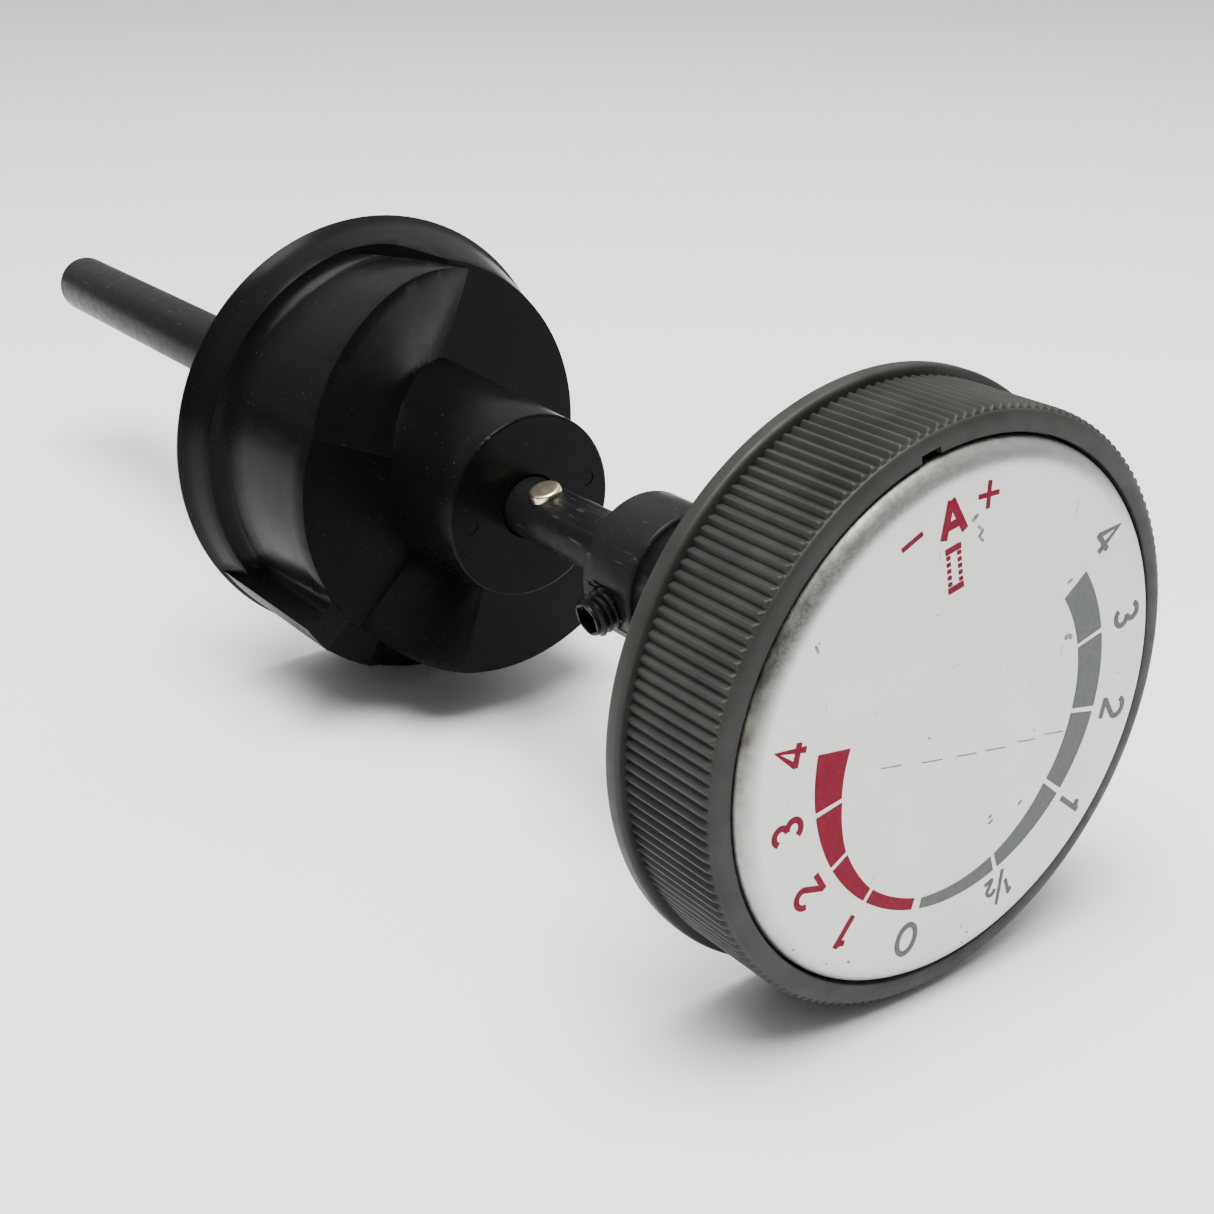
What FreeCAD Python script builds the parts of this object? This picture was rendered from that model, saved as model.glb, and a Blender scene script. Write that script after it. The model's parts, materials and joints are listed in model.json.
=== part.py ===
import FreeCAD
import Part

import math
import os

from FreeCAD import Vector

# Control dial with cam shaft. Millimetres, +Z up, the axis along Y, the dial facing -Y.
# The origin is on the axis, in the plane of the shaft shoulder that the cam's rear face seats on.
# Every piece is built round a local Z axis that points from the cam towards the dial.
# Local angles run anticlockwise as seen from the dial side. The pieces are then turned to the
# unit's rest position round that axis, and local Z becomes -Y.
REST_TURN = -14.8

# Shaft: a stepped rod with a long rear journal and a thinner front spindle
JOURNAL_R = 3.875
JOURNAL_LENGTH = 84.5
SPINDLE_R = 3.02
SPINDLE_END = 79.6
END_ROUND = 0.9

# Cross pin: a brass pin in a blind hole across the spindle, just in front of the cam's boss.
# Its foot and its end are distances from the axis; the foot is past it, on the far side.
PIN_R = 1.6
PIN_ANGLE = 123.5
PIN_HEIGHT = 34.8
PIN_FOOT = -2.3
PIN_END = 3.4
PIN_ROUND = 0.3

# Cam drum: flange with a conical rim, drum with a stepped front face, outer lug and boss.
# Sectors are rooted ROOT_DEPTH inside the flange. Ramp blocks overhang by RAMP_MARGIN, then are trimmed.
FLANGE_R = 23.42
FLANGE_LIP = 0.35
RIM_FOOT_R = 22.95
RIM_FOOT = 0.9
FLANGE_T = 4.6
DRUM_R = 19.25
DRUM_FOOT_R = 20.2
COVE_R = 2.0
COVE_CENTRE_R = 22.0
LOW_SECTOR_R = 20.45
LOW_FACE = 9.1
MID_FACE = 19.9
HIGH_FACE = 26.4
LUG_R = 23.1
LUG_FOOT = 0.5
BOSS_BASE_R = 10.4
BOSS_FACE_R = 9.3
BOSS_FACE = 30.9
CAM_BORE_R = 3.05
CAM_BORE_CHAMFER = 0.25
FACET_ROUND = 1.5
ROOT_DEPTH = 1.5
RAMP_INNER_R = 1.0
RAMP_MARGIN = 4.0

# Stations of the front faces: angle in degrees and height. Each climb is one smooth surface.
STEP_ANGLE = -28.0
LONG_RAMP = [(83.0, LOW_FACE), (95.0, 11.3), (110.0, 13.4), (130.0, 16.1), (150.0, 18.0), (172.0, MID_FACE)]
STEEP_RAMP = [(239.0, MID_FACE), (245.0, 23.2), (251.0, 25.3), (258.0, 26.2), (268.0, HIGH_FACE)]
RIM_SLOPE = [(91.0, LOW_FACE), (95.0, 8.5), (99.0, 7.2), (103.0, 5.9), (109.0, 5.0), (118.0, FLANGE_T)]
FACET_ANGLE = 226.5
LUG_TOP = 19.75
LUG_TOP_END = 235.0
LUG_SHELF = 15.0
LUG_SHELF_START = 244.0
LUG_SHELF_END = 258.0
LUG_LOW = 13.9
LUG_LOW_START = 263.0
EJECTOR_R = 0.8
EJECTOR_DEPTH = 0.12
EJECTOR_SPOTS = [(27.0, 7.0), (200.0, 7.0)]

# Dial: knurled knob
KNOB_REAR = 76.5
KNOB_FRONT = 87.4
REAR_LIP_R = 24.95
REAR_LIP_END = 78.2
REAR_LIP_EDGE = 0.4
KNURL_R = 24.2
KNURL_DEPTH = 0.42
KNURL_COUNT = 164
KNOB_INNER_R = 21.7
KNOB_FLOOR_REAR = 82.6
RECESS_FLOOR = 85.0
RECESS_R = 22.15
SEAT_R = 21.3
SEAT_TOP = 87.9
SEAT_SLOPE_R = 19.3
SEAT_SLOPE_START = 86.6
FRONT_ROUND = 0.55
RIDGE_TOP = 87.1
RIDGE_ROUND = 0.45
NOTCH_ANGLE = 117.5
NOTCH_WIDTH = 1.8
NOTCH_DEPTH = 0.6

# Dial hub: a sleeve on the spindle with a disc behind the knob's floor
HUB_R = 6.4
HUB_NECK_R = 4.9
HUB_BORE_R = 3.06
HUB_DISC_R = 12.0
HUB_DISC_T = 2.0
HUB_REAR = 48.9

# Collar round the hub's neck, with one tapped hole
COLLAR_R = 6.8
COLLAR_REAR = 48.7
COLLAR_FRONT = 55.6
COLLAR_CHAMFER = 0.25
SCREW_ANGLE = 209.5
SCREW_HEIGHT = (COLLAR_REAR + COLLAR_FRONT) / 2

# Set screw: M4 x 0.7 with a hexagon socket
SCREW_R = 2.0
SCREW_PITCH = 0.7
SCREW_THREAD_DEPTH = 0.4
SCREW_TIP_CHAMFER = 0.25
THREAD_START = 0.3
THREAD_END_MARGIN = 0.5
SCREW_TIP = 3.1
SCREW_LENGTH = 5.9
SCREW_CLEARANCE = 0.05
SOCKET_AF = 2.5
SOCKET_DEPTH = 2.2

# Dial plate: a pressed aluminium cap with a rolled edge
PLATE_R = 21.9
PLATE_T = 0.5
PLATE_FACE = 88.4
PLATE_SKIRT_END = 85.4
ROLL_START = 87.1
ROLL_MIDDLE = (21.25, 88.0)
ROLL_INNER_MIDDLE = (20.94, 87.61)
ROLL_END_R = 19.4

# Printed scale bands on the plate
INK_T = 0.04
BAND_R = 15.3
BAND_GAP = 0.48
RED_BAND = [(268.9, 14.35), (246.0, 14.2), (225.3, 13.65), (204.8, 12.8), (185.4, 12.2)]
GREY_BAND = [(270.7, 14.4), (303.8, 13.85), (335.4, 13.0), (362.5, 12.65), (388.7, 12.55), (413.1, 12.5)]

FRONT_AXIS = Vector(0, 0, 1)
ORIGIN = Vector(0, 0, 0)


def polar(radius, degrees, height=0.0):
    """Point at a radius and an angle round the local axis."""
    angle = math.radians(degrees)
    return Vector(radius * math.cos(angle), radius * math.sin(angle), height)


def disc(radius, bottom, top):
    """Solid cylinder on the local axis."""
    return Part.makeCylinder(radius, top - bottom, Vector(0, 0, bottom), FRONT_AXIS)


def aimed(piece, degrees, foot, height):
    """Piece built up the local axis, laid along a radius with its foot at a distance from the axis."""
    turn = FreeCAD.Rotation(FRONT_AXIS, polar(1.0, degrees))
    piece.Placement = FreeCAD.Placement(polar(foot, degrees, height), turn)
    return piece


def turned(profile, start=0.0, end=360.0):
    """Solid of revolution of a closed profile. Each entry is the radius and height of a corner.
    An entry of four numbers is an arc: the point it passes through, then the point it ends at."""
    here = Vector(profile[0][0], 0, profile[0][1])
    edges = []
    for entry in profile[1:] + profile[:1]:
        there = Vector(entry[-2], 0, entry[-1])
        if len(entry) == 4:
            middle = Vector(entry[0], 0, entry[1])
            edges.append(Part.Arc(here, middle, there).toShape())
        else:
            edges.append(Part.makeLine(here, there))
        here = there
    face = Part.Face(Part.Wire(edges))
    face.rotate(ORIGIN, FRONT_AXIS, start)
    return face.revolve(ORIGIN, FRONT_AXIS, end - start)


def circle_edges(shape, radius, height):
    """Full circular edges of a radius at a height."""
    found = []
    for edge in shape.Edges:
        curve = edge.Curve
        if not isinstance(curve, Part.Circle):
            continue
        same_radius = abs(curve.Radius - radius) < 1e-4
        same_height = abs(curve.Center.z - height) < 1e-4
        if same_radius and same_height:
            found.append(edge)
    return found


def wedge(start, end, radius, bottom, top):
    """Sector of a cylinder between two angles."""
    return turned([(0, bottom), (radius, bottom), (radius, top), (0, top)], start, end)


def ramp(stations, radius, bottom):
    """Sector whose front face runs smoothly through stations of angle and height."""
    inner = RAMP_INNER_R
    outer = radius + RAMP_MARGIN
    start, low = stations[0]
    end, high = stations[-1]
    fine_stations = smooth_stations(stations)

    def smooth_edge(edge_radius):
        curve = Part.BSplineCurve()
        curve.interpolate([polar(edge_radius, angle, height) for angle, height in fine_stations])
        return curve.toShape()

    def flat_edge(edge_radius):
        middle = (start + end) / 2
        arc = Part.Arc(polar(edge_radius, start, bottom), polar(edge_radius, middle, bottom),
                       polar(edge_radius, end, bottom))
        return arc.toShape()

    top_inner = smooth_edge(inner)
    top_outer = smooth_edge(outer)
    low_inner = flat_edge(inner)
    low_outer = flat_edge(outer)
    faces = [
        Part.makeRuledSurface(top_inner, top_outer),
        Part.makeRuledSurface(low_inner, low_outer),
        Part.makeRuledSurface(low_inner, top_inner),
        Part.makeRuledSurface(low_outer, top_outer),
    ]
    for angle, height in ((start, low), (end, high)):
        corners = [
            polar(inner, angle, bottom),
            polar(outer, angle, bottom),
            polar(outer, angle, height),
            polar(inner, angle, height),
        ]
        faces.append(Part.Face(Part.makePolygon(corners + corners[:1])))
    shell = Part.makeShell(faces)
    shell.sewShape()
    block = Part.makeSolid(shell)
    if block.Volume < 0:
        block.reverse()
    return block.common(wedge(start, end, radius, bottom, max(low, high) + 1.0))


def smooth_stations(stations):
    """Closely spaced stations on a smooth curve through the given ones."""
    curve = Part.BSplineCurve()
    curve.interpolate([Vector(angle, height, 0) for angle, height in stations])
    steps = 24
    first = curve.FirstParameter
    span = curve.LastParameter - first
    points = [curve.value(first + span * k / steps) for k in range(steps + 1)]
    return [(point.x, point.y) for point in points]


def make_shaft():
    """Rear journal, shoulder and front spindle, with a blind cross hole for the pin."""
    journal = disc(JOURNAL_R, -JOURNAL_LENGTH, 0)
    journal = journal.makeFillet(END_ROUND, circle_edges(journal, JOURNAL_R, -JOURNAL_LENGTH))
    spindle = disc(SPINDLE_R, -1.0, SPINDLE_END)
    spindle = spindle.makeChamfer(0.4, circle_edges(spindle, SPINDLE_R, SPINDLE_END))
    hole = aimed(disc(PIN_R, 0, SPINDLE_R - PIN_FOOT + 1.0), PIN_ANGLE, PIN_FOOT, PIN_HEIGHT)
    return journal.fuse(spindle).removeSplitter().cut(hole)


def make_cross_pin():
    """Round brass pin with a rounded outer end."""
    length = PIN_END - PIN_FOOT
    pin = disc(PIN_R, 0, length)
    pin = pin.makeFillet(PIN_ROUND, circle_edges(pin, PIN_R, length))
    return aimed(pin, PIN_ANGLE, PIN_FOOT, PIN_HEIGHT)


def make_cam_drum():
    """One moulding: flange, low sector, drum with ramps, outer lug, boss and bore."""
    flange = rim_envelope(FLANGE_T)
    foot = FLANGE_T - ROOT_DEPTH
    sector_r = DRUM_FOOT_R + 1.0
    low_parts = [
        wedge(STEP_ANGLE, RIM_SLOPE[0][0], FLANGE_R, foot, LOW_FACE),
        ramp(RIM_SLOPE, FLANGE_R, foot),
    ]
    low_parts = [part.common(rim_envelope(LOW_FACE)) for part in low_parts]
    drum_parts = [
        ramp(LONG_RAMP, sector_r, foot),
        wedge(LONG_RAMP[-1][0], STEEP_RAMP[0][0], sector_r, foot, MID_FACE),
        ramp(STEEP_RAMP, sector_r, foot),
        wedge(STEEP_RAMP[-1][0], 360.0 + STEP_ANGLE, sector_r, foot, HIGH_FACE),
    ]
    draft = turned([
        (0, foot),
        (DRUM_FOOT_R, foot),
        (DRUM_FOOT_R, FLANGE_T),
        (DRUM_R, MID_FACE),
        (DRUM_R, HIGH_FACE + 1.0),
        (0, HIGH_FACE + 1.0),
    ])
    drum_parts = [part.common(draft) for part in drum_parts]
    boss = Part.makeCone(BOSS_BASE_R, BOSS_FACE_R, BOSS_FACE - foot, Vector(0, 0, foot), FRONT_AXIS)
    boss = boss.makeFillet(0.3, circle_edges(boss, BOSS_FACE_R, BOSS_FACE))
    body = flange.fuse(low_parts + drum_parts + make_lug() + [make_cove(), boss])
    body = body.fuse(fillet_corner()).removeSplitter()
    for angle, radius in EJECTOR_SPOTS:
        spot = Part.makeCylinder(EJECTOR_R, 1.0, polar(radius, angle, BOSS_FACE - EJECTOR_DEPTH), FRONT_AXIS)
        body = body.cut(spot)
    bore = disc(CAM_BORE_R, -1.0, BOSS_FACE + 1.0)
    mouth = Part.makeCone(CAM_BORE_R, CAM_BORE_R + CAM_BORE_CHAMFER, CAM_BORE_CHAMFER,
                          Vector(0, 0, BOSS_FACE - CAM_BORE_CHAMFER), FRONT_AXIS)
    return body.cut(bore).cut(mouth)


def rim_radius(height):
    """Outer radius of the conical rim at a height."""
    slope = (RIM_FOOT_R - LOW_SECTOR_R) / (LOW_FACE - RIM_FOOT)
    return RIM_FOOT_R - slope * (height - RIM_FOOT)


def rim_envelope(top):
    """Solid inside the flange's thin rear lip and the cone in front of it, up to a height."""
    return turned([
        (0, 0),
        (FLANGE_R - 0.1, 0),
        (FLANGE_R, 0.1),
        (FLANGE_R, FLANGE_LIP),
        (RIM_FOOT_R, RIM_FOOT),
        (rim_radius(top), top),
        (0, top),
    ])


def make_cove():
    """Hollow-curved foot between the rim's front edge and the drum's wall."""
    height = FLANGE_T + COVE_R
    diagonal = COVE_R * math.sqrt(0.5)
    rim_r = rim_radius(FLANGE_T)
    return turned([
        (DRUM_R - 1.0, FLANGE_T - 1.0),
        (rim_r, FLANGE_T - 1.0),
        (rim_r, FLANGE_T),
        (COVE_CENTRE_R - diagonal, height - diagonal, COVE_CENTRE_R - COVE_R, height),
        (DRUM_R - 1.0, height),
    ], RIM_SLOPE[0][0], FACET_ANGLE)


def make_lug():
    """Sectors of the lug outside the drum: a high end, a slope, a shelf and a low run."""
    return [
        wedge(FACET_ANGLE, LUG_TOP_END, LUG_R, LUG_FOOT, LUG_TOP),
        ramp([(LUG_TOP_END, LUG_TOP), (LUG_SHELF_START, LUG_SHELF)], LUG_R, LUG_FOOT),
        wedge(LUG_SHELF_START, LUG_SHELF_END, LUG_R, LUG_FOOT, LUG_SHELF),
        ramp([(LUG_SHELF_END, LUG_SHELF), (LUG_LOW_START, LUG_LOW)], LUG_R, LUG_FOOT),
        wedge(LUG_LOW_START, 360.0 + STEP_ANGLE, LUG_R, LUG_FOOT, LUG_LOW),
    ]


def fillet_corner():
    """Concave corner piece between the drum's wall and the lug's end facet."""
    offset = math.degrees(math.asin(FACET_ROUND / (DRUM_R + FACET_ROUND)))
    centre_angle = FACET_ANGLE - offset
    centre = polar(DRUM_R + FACET_ROUND, centre_angle)
    height = LUG_TOP
    block = wedge(centre_angle, FACET_ANGLE + 0.5, DRUM_R + FACET_ROUND, FLANGE_T - 0.5, height)
    block = block.cut(disc(DRUM_R - 0.4, 0, height + 1.0))
    hollow = Part.makeCylinder(FACET_ROUND, height + 2.0, Vector(centre.x, centre.y, 0), FRONT_AXIS)
    return block.cut(hollow)


def make_dial_knob():
    """Knurled cup with a smooth rear lip, a recessed front for the plate and a hollow back."""
    valley_r = KNURL_R - KNURL_DEPTH
    shell = turned([
        (KNOB_INNER_R, KNOB_REAR),
        (REAR_LIP_R - REAR_LIP_EDGE, KNOB_REAR),
        (REAR_LIP_R, KNOB_REAR + REAR_LIP_EDGE),
        (REAR_LIP_R, REAR_LIP_END - REAR_LIP_EDGE),
        (REAR_LIP_R - REAR_LIP_EDGE, REAR_LIP_END),
        (valley_r, REAR_LIP_END),
        (valley_r, KNOB_FRONT),
        (RECESS_R, KNOB_FRONT),
        (RECESS_R, RECESS_FLOOR),
        (SEAT_R, RECESS_FLOOR),
        (SEAT_R, SEAT_SLOPE_START),
        (SEAT_SLOPE_R, SEAT_TOP),
        (0, SEAT_TOP),
        (0, KNOB_FLOOR_REAR),
        (KNOB_INNER_R, KNOB_FLOOR_REAR),
    ])
    shell = shell.makeFillet(FRONT_ROUND, circle_edges(shell, valley_r, KNOB_FRONT))
    body = shell.fuse(make_knurl_band())
    notch = Part.makeBox(NOTCH_DEPTH + 0.5, NOTCH_WIDTH, KNOB_FRONT - RECESS_FLOOR,
                         Vector(RECESS_R - 0.5, -NOTCH_WIDTH / 2, RECESS_FLOOR + 0.6))
    notch.rotate(ORIGIN, FRONT_AXIS, NOTCH_ANGLE)
    return body.cut(notch)


def make_knurl_band():
    """Straight ridges round the knob that end in rounded noses at the front."""
    pitch = 360.0 / KNURL_COUNT
    valley_r = KNURL_R - KNURL_DEPTH
    start = REAR_LIP_END - 0.2
    outline = []
    for index in range(KNURL_COUNT):
        angle = index * pitch
        outline.append(polar(KNURL_R, angle - 0.14 * pitch, start))
        outline.append(polar(KNURL_R, angle + 0.14 * pitch, start))
        outline.append(polar(valley_r, angle + 0.40 * pitch, start))
        outline.append(polar(valley_r, angle + 0.60 * pitch, start))
    face = Part.Face(Part.makePolygon(outline + outline[:1]))
    band = face.extrude(Vector(0, 0, RIDGE_TOP - start))
    band = band.cut(disc(valley_r - 0.9, start - 1.0, RIDGE_TOP + 1.0))
    nose = disc(KNURL_R + 0.05, start - 1.0, RIDGE_TOP)
    nose = nose.makeFillet(RIDGE_ROUND, circle_edges(nose, KNURL_R + 0.05, RIDGE_TOP))
    return band.common(nose)


def make_dial_hub():
    """Sleeve that runs on the spindle, with a thinner neck for the collar and a front disc."""
    disc_rear = KNOB_FLOOR_REAR - HUB_DISC_T
    hub = turned([
        (HUB_BORE_R, HUB_REAR),
        (HUB_NECK_R, HUB_REAR),
        (HUB_NECK_R, COLLAR_FRONT),
        (HUB_R, COLLAR_FRONT),
        (HUB_R, disc_rear - 1.2),
        (HUB_R + 1.2, disc_rear),
        (HUB_DISC_R, disc_rear),
        (HUB_DISC_R, KNOB_FLOOR_REAR),
        (0, KNOB_FLOOR_REAR),
        (0, SPINDLE_END + 0.4),
        (HUB_BORE_R, SPINDLE_END + 0.4),
    ])
    return hub.cut(screw_hole())


def screw_hole():
    """Cutter for the set screw's hole, from the spindle out through the collar."""
    return aimed(disc(SCREW_R + SCREW_CLEARANCE, 0, COLLAR_R + 3.0), SCREW_ANGLE, 0, SCREW_HEIGHT)


def make_hub_collar():
    """Metal ring round the hub's neck, tapped for the set screw."""
    collar = disc(COLLAR_R, COLLAR_REAR, COLLAR_FRONT)
    rims = circle_edges(collar, COLLAR_R, COLLAR_REAR) + circle_edges(collar, COLLAR_R, COLLAR_FRONT)
    collar = collar.makeChamfer(COLLAR_CHAMFER, rims)
    collar = collar.cut(disc(HUB_NECK_R, COLLAR_REAR - 1.0, COLLAR_FRONT + 1.0))
    return collar.cut(screw_hole())


def make_set_screw():
    """Grub screw: flat tip, V-shaped thread crests as separate rings, hexagon socket."""
    root = SCREW_R - SCREW_THREAD_DEPTH
    profile = [(0, 0), (root - SCREW_TIP_CHAMFER, 0), (root, SCREW_TIP_CHAMFER)]
    turns = int((SCREW_LENGTH - THREAD_END_MARGIN) / SCREW_PITCH)
    for index in range(turns):
        base = THREAD_START + index * SCREW_PITCH
        profile.append((root, base))
        profile.append((SCREW_R, base + 0.38 * SCREW_PITCH))
        profile.append((SCREW_R, base + 0.52 * SCREW_PITCH))
        profile.append((root, base + 0.9 * SCREW_PITCH))
    profile += [(root, SCREW_LENGTH - 0.1), (root - 0.1, SCREW_LENGTH), (0, SCREW_LENGTH)]
    screw = turned(profile)
    corner_r = SOCKET_AF / math.sqrt(3)
    corners = [polar(corner_r, 60 * k, SCREW_LENGTH + 0.2) for k in range(6)]
    socket = Part.Face(Part.makePolygon(corners + corners[:1]))
    socket = socket.extrude(Vector(0, 0, -SOCKET_DEPTH - 0.2))
    return aimed(screw.cut(socket), SCREW_ANGLE, SCREW_TIP, SCREW_HEIGHT)


def make_dial_plate():
    """Pressed cap: flat face, rolled edge and a short skirt."""
    inner_r = PLATE_R - PLATE_T
    inner_face = PLATE_FACE - PLATE_T
    return turned([
        (inner_r, PLATE_SKIRT_END),
        (PLATE_R, PLATE_SKIRT_END),
        (PLATE_R, ROLL_START),
        ROLL_MIDDLE + (ROLL_END_R, PLATE_FACE),
        (0, PLATE_FACE),
        (0, inner_face),
        (ROLL_END_R + 0.1, inner_face),
        ROLL_INNER_MIDDLE + (inner_r, ROLL_START - 0.1),
    ])


def scale_segment(first, last):
    """One printed segment between two stations, with half a gap left at each end."""
    sign = 1.0 if last[0] > first[0] else -1.0
    margin = sign * math.degrees(BAND_GAP / 2 / BAND_R)
    start = first[0] + margin
    end = last[0] - margin
    middle = (start + end) / 2
    inner_middle = (first[1] + last[1]) / 2
    outer = Part.Arc(polar(BAND_R, start), polar(BAND_R, middle), polar(BAND_R, end)).toShape()
    inner = Part.Arc(polar(last[1], end), polar(inner_middle, middle), polar(first[1], start)).toShape()
    side_a = Part.makeLine(polar(BAND_R, end), polar(last[1], end))
    side_b = Part.makeLine(polar(first[1], start), polar(BAND_R, start))
    face = Part.Face(Part.Wire([outer, side_a, inner, side_b]))
    face.translate(Vector(0, 0, PLATE_FACE))
    return face.extrude(Vector(0, 0, INK_T))


def make_scale(stations):
    """All printed segments of one colour."""
    return Part.makeCompound([scale_segment(a, b) for a, b in zip(stations, stations[1:])])


PIECES = {
    "shaft": make_shaft,
    "cross_pin": make_cross_pin,
    "cam_drum": make_cam_drum,
    "dial_knob": make_dial_knob,
    "dial_hub": make_dial_hub,
    "hub_collar": make_hub_collar,
    "set_screw": make_set_screw,
    "dial_plate": make_dial_plate,
    "scale_red": lambda: make_scale(RED_BAND),
    "scale_grey": lambda: make_scale(GREY_BAND),
}

os.makedirs("parts", exist_ok=True)
for name, build in PIECES.items():
    piece = build()
    piece.rotate(ORIGIN, FRONT_AXIS, REST_TURN)
    piece.rotate(ORIGIN, Vector(1, 0, 0), 90)
    piece.exportStep("parts/%s.step" % name)
    print(name, piece.isValid(), len(piece.Solids), round(piece.Volume, 2))
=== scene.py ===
"""Looks of the control dial with cam shaft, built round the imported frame.

The scene is in metres, +Z up, and the dial faces -Y. The named sizes are in millimetres. Heights are
distances in front of the shaft's shoulder, and angles run anticlockwise as seen from the dial side.
"""

import json
import math
import random

import bmesh
import bpy
from mathutils import Matrix, Vector


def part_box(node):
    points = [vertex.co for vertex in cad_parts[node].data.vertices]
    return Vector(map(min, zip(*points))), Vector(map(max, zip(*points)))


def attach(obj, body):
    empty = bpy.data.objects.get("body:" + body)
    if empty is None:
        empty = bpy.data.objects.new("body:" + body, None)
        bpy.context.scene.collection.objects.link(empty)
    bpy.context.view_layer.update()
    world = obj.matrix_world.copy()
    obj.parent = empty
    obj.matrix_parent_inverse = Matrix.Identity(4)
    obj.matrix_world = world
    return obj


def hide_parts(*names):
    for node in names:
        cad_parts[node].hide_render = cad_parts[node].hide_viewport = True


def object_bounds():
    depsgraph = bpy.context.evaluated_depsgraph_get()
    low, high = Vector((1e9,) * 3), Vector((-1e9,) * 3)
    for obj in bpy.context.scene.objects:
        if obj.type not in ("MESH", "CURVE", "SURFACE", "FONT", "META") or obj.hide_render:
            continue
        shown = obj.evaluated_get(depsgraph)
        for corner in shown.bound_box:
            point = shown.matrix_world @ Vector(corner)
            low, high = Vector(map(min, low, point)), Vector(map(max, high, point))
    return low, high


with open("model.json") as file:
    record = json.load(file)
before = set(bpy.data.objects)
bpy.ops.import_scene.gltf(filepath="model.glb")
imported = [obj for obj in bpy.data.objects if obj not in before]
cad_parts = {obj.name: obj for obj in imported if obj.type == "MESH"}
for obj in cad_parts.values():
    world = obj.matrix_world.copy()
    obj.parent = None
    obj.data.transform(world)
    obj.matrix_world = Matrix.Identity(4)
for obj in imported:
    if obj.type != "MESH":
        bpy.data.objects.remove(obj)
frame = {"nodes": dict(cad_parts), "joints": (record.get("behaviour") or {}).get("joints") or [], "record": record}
cad_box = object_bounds()
nodes = frame["nodes"]

MM = 0.001
# Turn of the whole unit about its axis at rest. The named angles are counted before it.
REST_TURN = math.radians(-14.8)

# Edges: what counts as sharp, and the rounds that the CAD nodes get
SHARP_ANGLE = math.radians(35)
EDGE_ROUNDS = {"cam_drum": 0.12, "hub_collar": 0.08, "dial_hub": 0.15, "shaft": 0.06}
ROUND_SEGMENTS = 2
WELD_GAP = 0.002

# Knob: hollow back and smooth rear lip
LIP_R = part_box("dial_knob")[1].x / MM
KNOB_REAR = -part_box("dial_knob")[1].y / MM
LIP_FRONT = KNOB_REAR + 1.55
LIP_EDGE = 0.4
HOLLOW_R = 21.7
HOLLOW_FRONT = 82.6
HOLLOW_ROUND = 0.5
HOLLOW_EDGE = 0.15

# Knob: knurl. A ridge's flank takes RIDGE_FLANK of the pitch, and its front end is rounded off.
RIDGE_R = 24.2
RIDGE_HEIGHT = 0.36
VALLEY_R = RIDGE_R - RIDGE_HEIGHT
RIDGE_COUNT = 164
RIDGE_COLUMNS = 12
RIDGE_FLANK = 0.4
RIDGE_END = 87.05
RIDGE_NOSE = 0.4
NOSE_START = RIDGE_END - RIDGE_NOSE
NOSE_STEPS = 5
LIP_FOOT_R = VALLEY_R + 0.45

# Knob: front band, recess for the plate with a small notch in its wall, and the plate's seat
SEAT_TOP = -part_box("dial_knob")[0].y / MM
KNOB_FRONT = SEAT_TOP - 0.5
FRONT_BAND = 1.1
RECESS_R = 22.15
RECESS_FLOOR = 85.0
RECESS_EDGE = 0.12
NOTCH_ANGLE = 117.5
NOTCH_WIDTH = 1.8
NOTCH_DEPTH = 0.6
NOTCH_FLOOR = RECESS_FLOOR + 0.6
NOTCH_STEP = 0.01
SEAT_R = 21.3
SEAT_SLOPE_R = 19.3
SEAT_SLOPE_START = 86.6

# Dial plate: its disc lies DISC_SINK behind the back of the printed bands, so that the two never coincide
PLATE_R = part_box("dial_plate")[1].x / MM
PLATE_SKIRT = -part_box("dial_plate")[1].y / MM
PLATE_FACE = 88.4
PLATE_T = 0.5
PLATE_COLUMNS = 360
SKIRT_INNER_EDGE = 0.05
SKIRT_OUTER_EDGE = 0.08
ROLL_START = 87.1
ROLL_END_R = 19.9
ROLL_CENTRE = (ROLL_END_R, 86.212)
DISC_SINK = 0.005

# Printed signs: text, radius and angle. The red signs by the letter also have a height and a stroke.
# Strokes lie at LAYERS levels, so that crossing ones stay apart.
INK_TOP = 0.03
LAYERS = 7
LAYER_STEP = 0.0004
MITRE_LIMIT = 0.75
DIGIT_HEIGHT = 3.1
RED_STROKE = 0.5
GREY_STROKE = 0.47
FINE_STROKE = 0.32
RED_FIGURES = [("4", 18.05, 185.2), ("3", 18.0, 204.7), ("2", 17.8, 225.2), ("1", 18.0, 246.1)]
RED_SIGNS = [("A", 17.6, 115.9, 3.2, 0.66), ("-", 17.9, 128.9, 3.0, 0.38), ("+", 18.2, 104.3, 3.0, 0.38)]
GREY_FIGURES = [
    ("0", 17.9, 269.6), ("1", 17.7, 335.4), ("2", 18.0, 2.1), ("3", 18.35, 28.3), ("4", 18.45, 54.4),
]

# Printed one half: its place, and how far each figure is shifted across and up from it
HALF_R = 17.5
HALF_ANGLE = 304.0
HALF_DIGIT = 1.75
HALF_SLASH = 2.4
HALF_UPPER = (-1.0, 0.55)
HALF_LOWER = (0.95, -0.6)

# Printed ladder: two end bars joined by two dashed rails, along a radius
LADDER_ANGLE = 116.6
LADDER_TOP = 15.4
LADDER_BOTTOM = 11.7
LADDER_HALF = 0.78
LADDER_BAR = 0.5
RAIL_HALF_GAP = 0.55
RAIL_HALF = 0.2
RAIL_DASHES = 5
RAIL_FILL = 0.62

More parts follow.
